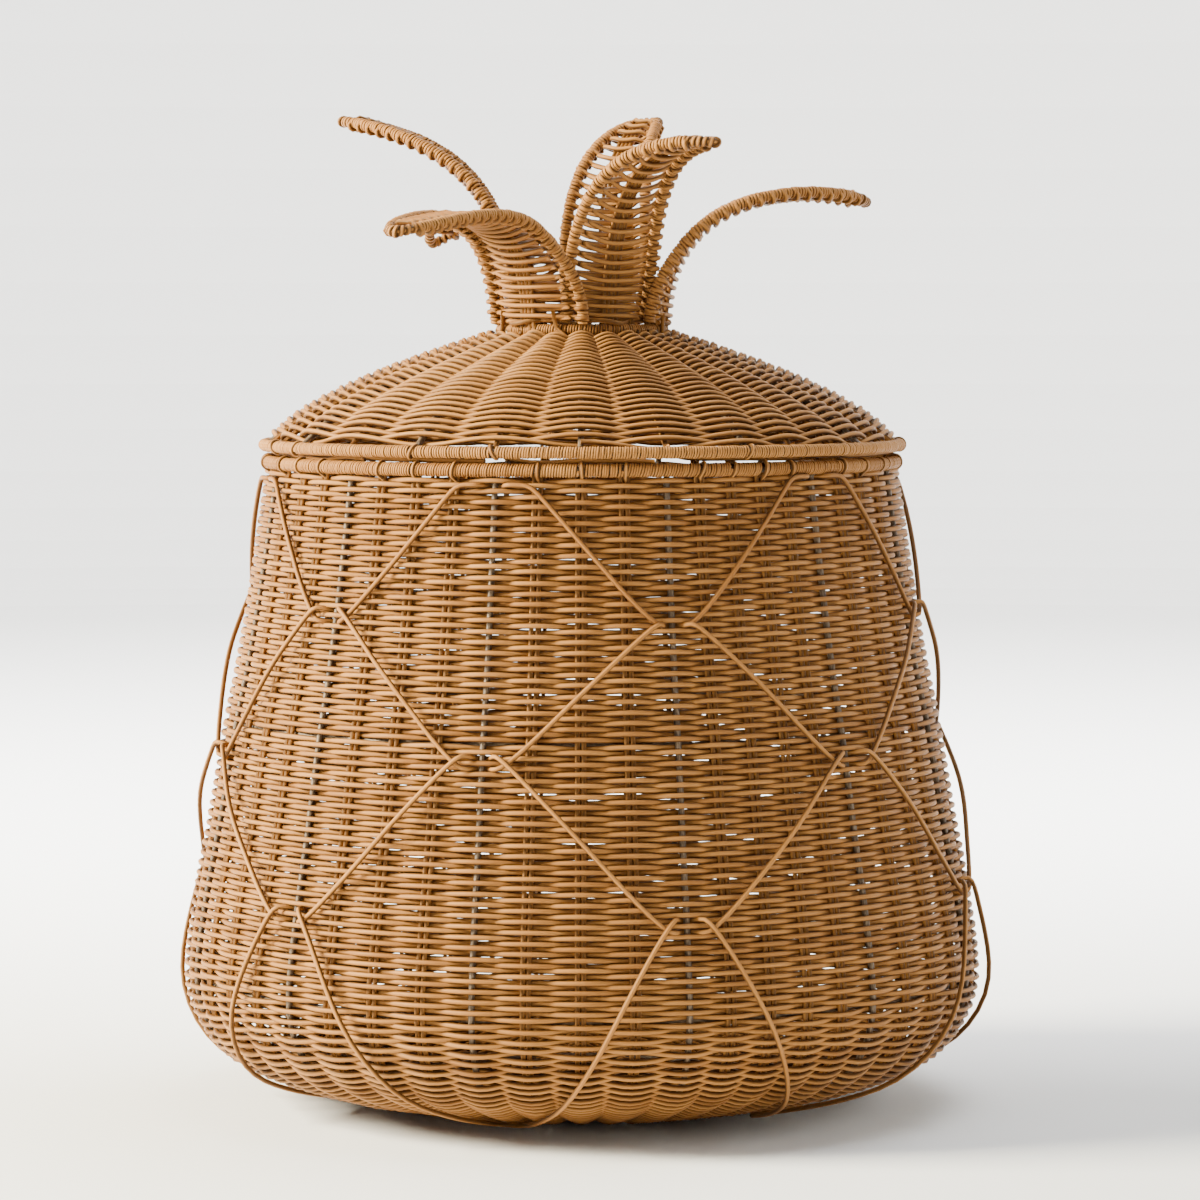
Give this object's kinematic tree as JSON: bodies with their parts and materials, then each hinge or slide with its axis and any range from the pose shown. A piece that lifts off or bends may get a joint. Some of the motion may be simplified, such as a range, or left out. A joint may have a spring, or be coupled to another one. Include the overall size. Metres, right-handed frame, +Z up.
{
  "type": "lidded basket",
  "caption": "Pineapple-shaped rattan storage basket on a steel wire frame, with a cane trellis and a lift-off domed lid whose crown of woven leaves is its handle.",
  "frame": {"origin": "centre of the flat base, on the floor", "axes": "+Z up along the basket's axis, front towards -Y, +X to the right of the front"},
  "size_m": [0.4104, 0.4104, 0.4941],
  "materials": {
    "woven_cane": "round natural rattan core, sanded, clear matt",
    "binding_cane": "fine peeled rattan wound tight, low sheen",
    "laid_cane": "round rattan laid over the weave, low sheen",
    "steel_wire": "grey-brown lacquered round wire, dull, with weld marks"
  },
  "bodies": {
    "basket": {"woven_wall": "woven_cane", "woven_bowl": "woven_cane", "woven_base": "woven_cane", "rim_hoop": "steel_wire", "middle_hoop": "steel_wire", "low_hoop": "steel_wire", "base_ring": "steel_wire", "upright_01": "steel_wire", "upright_02": "steel_wire", "upright_03": "steel_wire", "upright_04": "steel_wire", "upright_05": "steel_wire", "upright_06": "steel_wire", "upright_07": "steel_wire", "upright_08": "steel_wire", "upright_09": "steel_wire", "upright_10": "steel_wire", "upright_11": "steel_wire", "upright_12": "steel_wire", "rim_wrapping": "binding_cane", "trellis_cane_1": "laid_cane", "trellis_cane_2": "laid_cane", "trellis_cane_3": "laid_cane", "trellis_cane_4": "laid_cane"},
    "lid": {"lid_weave": "woven_cane", "lid_rim_hoop": "steel_wire", "crown_ring": "steel_wire", "lid_rib_01": "steel_wire", "lid_rib_02": "steel_wire", "lid_rib_03": "steel_wire", "lid_rib_04": "steel_wire", "lid_rib_05": "steel_wire", "lid_rib_06": "steel_wire", "lid_rib_07": "steel_wire", "lid_rib_08": "steel_wire", "lid_rib_09": "steel_wire", "lid_rib_10": "steel_wire", "lid_rib_11": "steel_wire", "lid_rib_12": "steel_wire", "lid_rim_wrapping": "binding_cane", "crown_wrapping": "binding_cane", "leaf_a_frame": "binding_cane", "leaf_a_web": "woven_cane", "leaf_a_midrib": "laid_cane", "leaf_b_frame": "binding_cane", "leaf_b_web": "woven_cane", "leaf_b_midrib": "laid_cane", "leaf_c_frame": "binding_cane", "leaf_c_web": "woven_cane", "leaf_c_midrib": "laid_cane", "leaf_d_frame": "binding_cane", "leaf_d_web": "woven_cane", "leaf_d_midrib": "laid_cane", "leaf_e_frame": "binding_cane", "leaf_e_web": "woven_cane", "leaf_e_midrib": "laid_cane", "leaf_f_frame": "binding_cane", "leaf_f_web": "woven_cane", "leaf_f_midrib": "laid_cane"}
  },
  "joints": [
    {"name": "lid_lift", "type": "slide", "parent": "basket", "child": "lid", "axis": [0, 0, 1], "range_m": [0, 0.15]}
  ]
}
